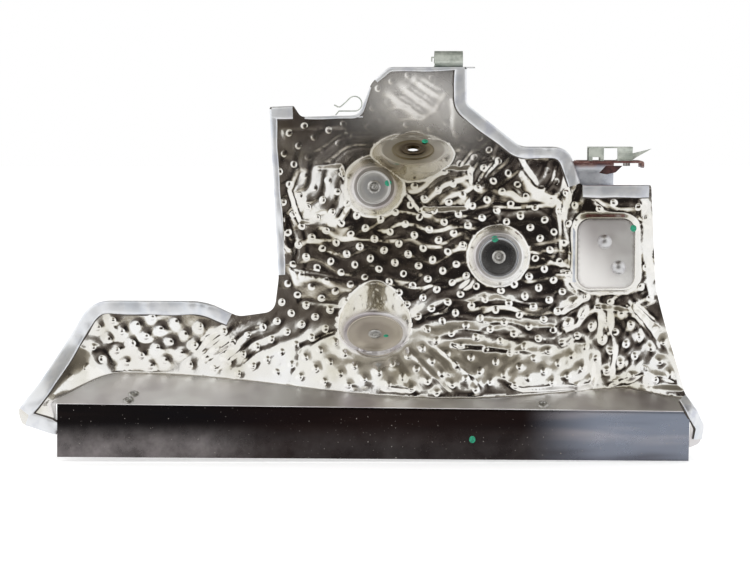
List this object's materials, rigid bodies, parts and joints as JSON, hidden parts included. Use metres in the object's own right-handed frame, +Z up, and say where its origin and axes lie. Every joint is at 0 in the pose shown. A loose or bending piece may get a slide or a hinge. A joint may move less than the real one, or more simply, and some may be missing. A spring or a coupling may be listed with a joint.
{
  "type": "turbocharger heat shield",
  "caption": "Dimpled, wrinkled sheet heat shield with round pressed bosses, a bolt eyelet, a riveted angle along the bottom, a pipe bracket and spring clips.",
  "frame": {"origin": "middle of the bolt eyelet's hole, on the tilted boss that carries it", "axes": "+Z up as the shield stands in the picture, -Y out of its hot face towards the viewer, +X to the right"},
  "size_m": [0.4798, 0.0585, 0.2853],
  "materials": {
    "shield_sheet": "pressed, dimpled stainless sheet, mirror bright and wrinkled, its folded hem satin",
    "skirt_angle": "smooth stainless strip, bright but stained dark brown, with smudges",
    "skirt_rivet": "dull rivet heads",
    "boss_washer_a": "dark satin disc",
    "boss_washer_b": "very dark bright disc",
    "boss_washer_c": "brown grey satin disc",
    "boss_rivet": "blind rivet heads, satin, with a dark core",
    "eyelet_washer": "heat-tinted satin ring",
    "bolt_eyelet": "heat-tinted eyelet with a bright bore",
    "pad_rivet": "smooth pressed domes",
    "pipe_bracket": "blue grey satin plate with a rust-red leaf",
    "bracket_clip": "grey green phosphated spring steel",
    "bracket_clip_rivet": "dark rusty rivet",
    "side_clip": "grey spring steel",
    "top_clip": "pale grey green satin spring steel"
  },
  "bodies": {
    "root": {"shield_sheet": "shield_sheet", "skirt_angle": "skirt_angle", "skirt_rivet_left": "skirt_rivet", "skirt_rivet_left_lower": "skirt_rivet", "skirt_rivet_right": "skirt_rivet", "boss_washer_a": "boss_washer_a", "boss_washer_b": "boss_washer_b", "boss_washer_c": "boss_washer_c", "boss_rivet_a": "boss_rivet", "boss_rivet_b": "boss_rivet", "boss_rivet_c": "boss_rivet", "eyelet_washer": "eyelet_washer", "bolt_eyelet": "bolt_eyelet", "pad_rivet_upper": "pad_rivet", "pad_rivet_lower": "pad_rivet", "pipe_bracket": "pipe_bracket", "bracket_clip": "bracket_clip", "bracket_clip_rivet": "bracket_clip_rivet", "side_clip": "side_clip", "top_clip": "top_clip"}
  },
  "joints": []
}
